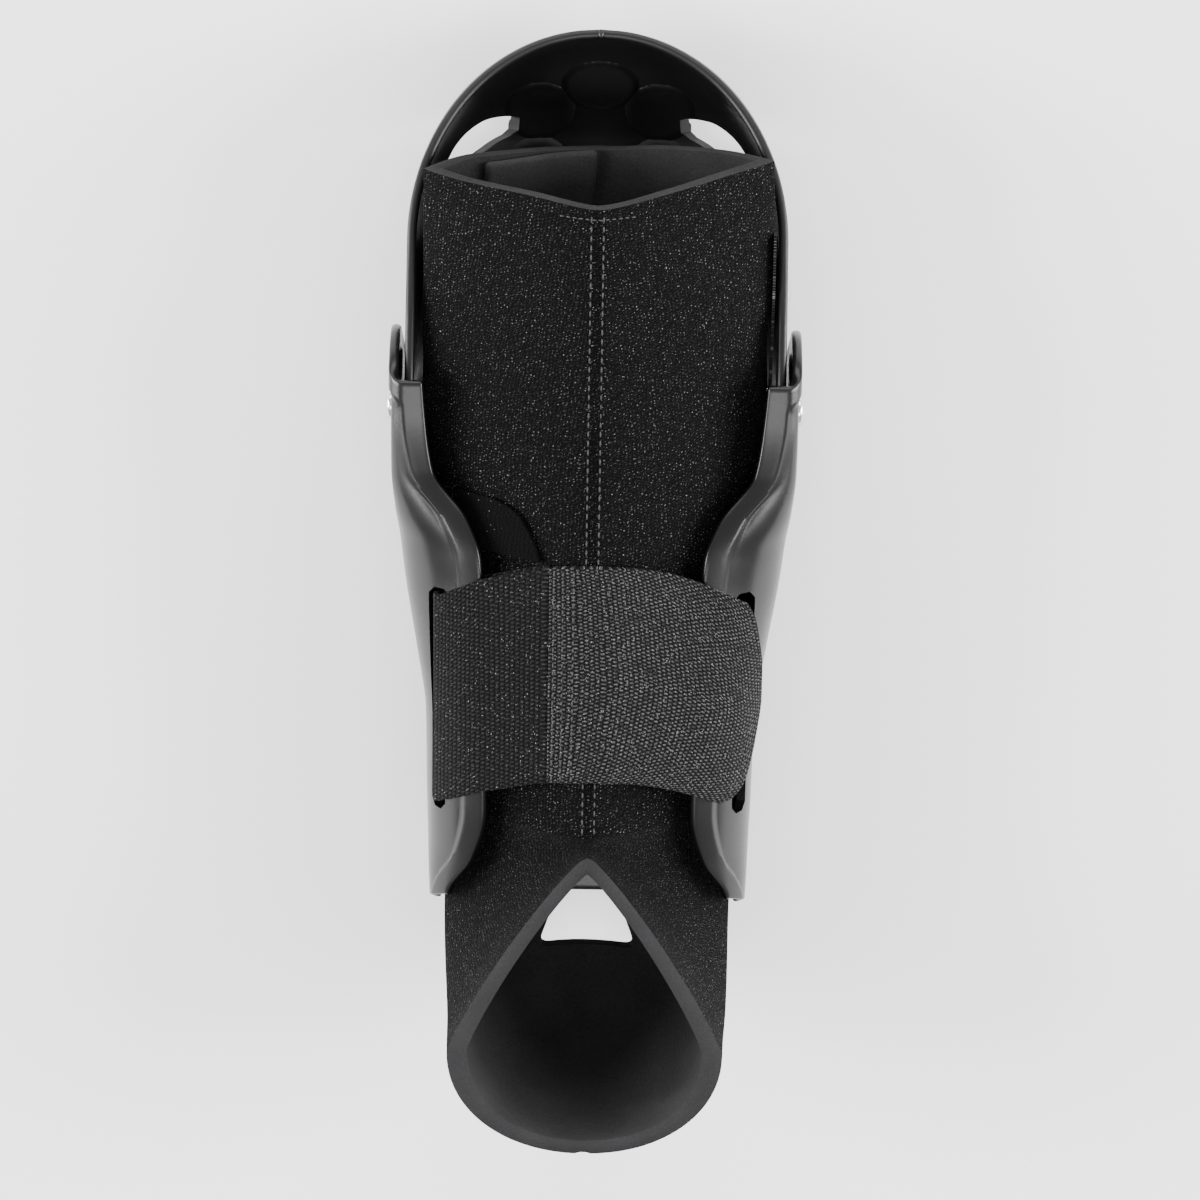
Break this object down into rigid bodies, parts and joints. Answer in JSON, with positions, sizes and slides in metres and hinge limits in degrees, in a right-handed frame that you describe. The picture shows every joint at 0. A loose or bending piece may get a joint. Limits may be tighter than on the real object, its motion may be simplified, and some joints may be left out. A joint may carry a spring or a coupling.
{
  "type": "hinged ankle support with sleeve and strap",
  "caption": "Hinged hard-shell ankle support: calf cup and heel shell on side rivets, padded L-shaped sleeve and wide wrap-over strap.",
  "frame": {"origin": "centre of the part's box, on the surface that its back lies on", "axes": "+X across the leg, to the right seen from the front; +Y up the leg towards the calf cup; +Z out of the front of the shin"},
  "size_m": [0.113, 0.2974, 0.0915],
  "materials": {
    "moulded_cup": "black moulded plastic, fine sheen",
    "moulded_shell": "black moulded plastic, fine texture with a soft sheen",
    "rivet_metal": "polished rivet head",
    "knit_neoprene": "black knit over foam rubber",
    "ribbed_strap": "black ribbed strap",
    "woven_elastic": "black woven elastic",
    "patch_cloth": "black smooth cloth, stitched round",
    "hook_tape": "black rough tape"
  },
  "bodies": {
    "guard": {"lower_shell": "moulded_shell", "rivet_left": "rivet_metal", "rivet_right": "rivet_metal", "sleeve": "knit_neoprene", "strap": "ribbed_strap", "strap_loop": "woven_elastic", "side_patch": "patch_cloth", "hook_strip": "hook_tape"},
    "cup": {"calf_cup": "moulded_cup"}
  },
  "joints": [
    {"name": "cup_hinge", "type": "hinge", "parent": "guard", "child": "cup", "pos_m": [0, 0.05, 0.05], "axis": [1, 0, 0], "range_deg": [0, 8]}
  ]
}
